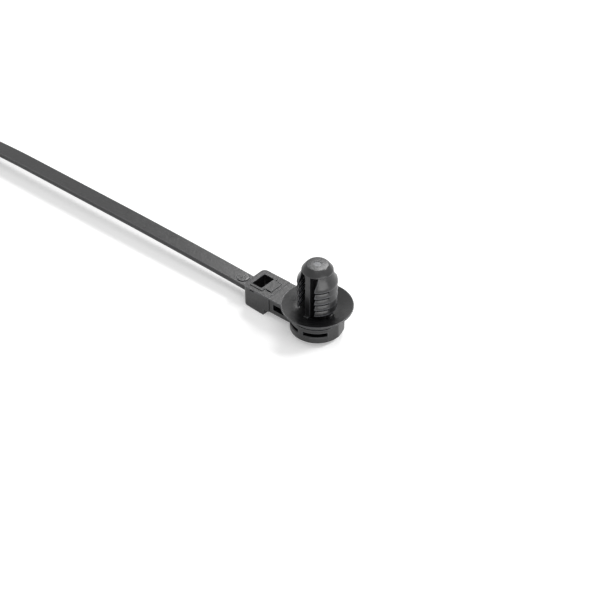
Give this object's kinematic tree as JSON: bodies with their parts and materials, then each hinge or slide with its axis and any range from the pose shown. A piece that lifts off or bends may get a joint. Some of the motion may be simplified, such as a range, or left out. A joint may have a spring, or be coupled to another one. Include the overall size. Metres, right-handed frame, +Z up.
{
  "type": "fir tree cable tie",
  "caption": "One-piece black nylon cable tie: a toothed strap, a locking head, and a fir tree fixing with a disc on a round drum.",
  "frame": {"origin": "centre of the drum's flat underside, on the fir tree's axis", "axes": "+Z up the fir tree, the way it is pushed into its hole; the strap runs out along -X"},
  "size_m": [0.2015, 0.019, 0.0216],
  "materials": {
    "nylon": "moulded, fine matt with a soft sheen"
  },
  "bodies": {
    "root": {"cable_tie": "nylon"}
  },
  "joints": []
}
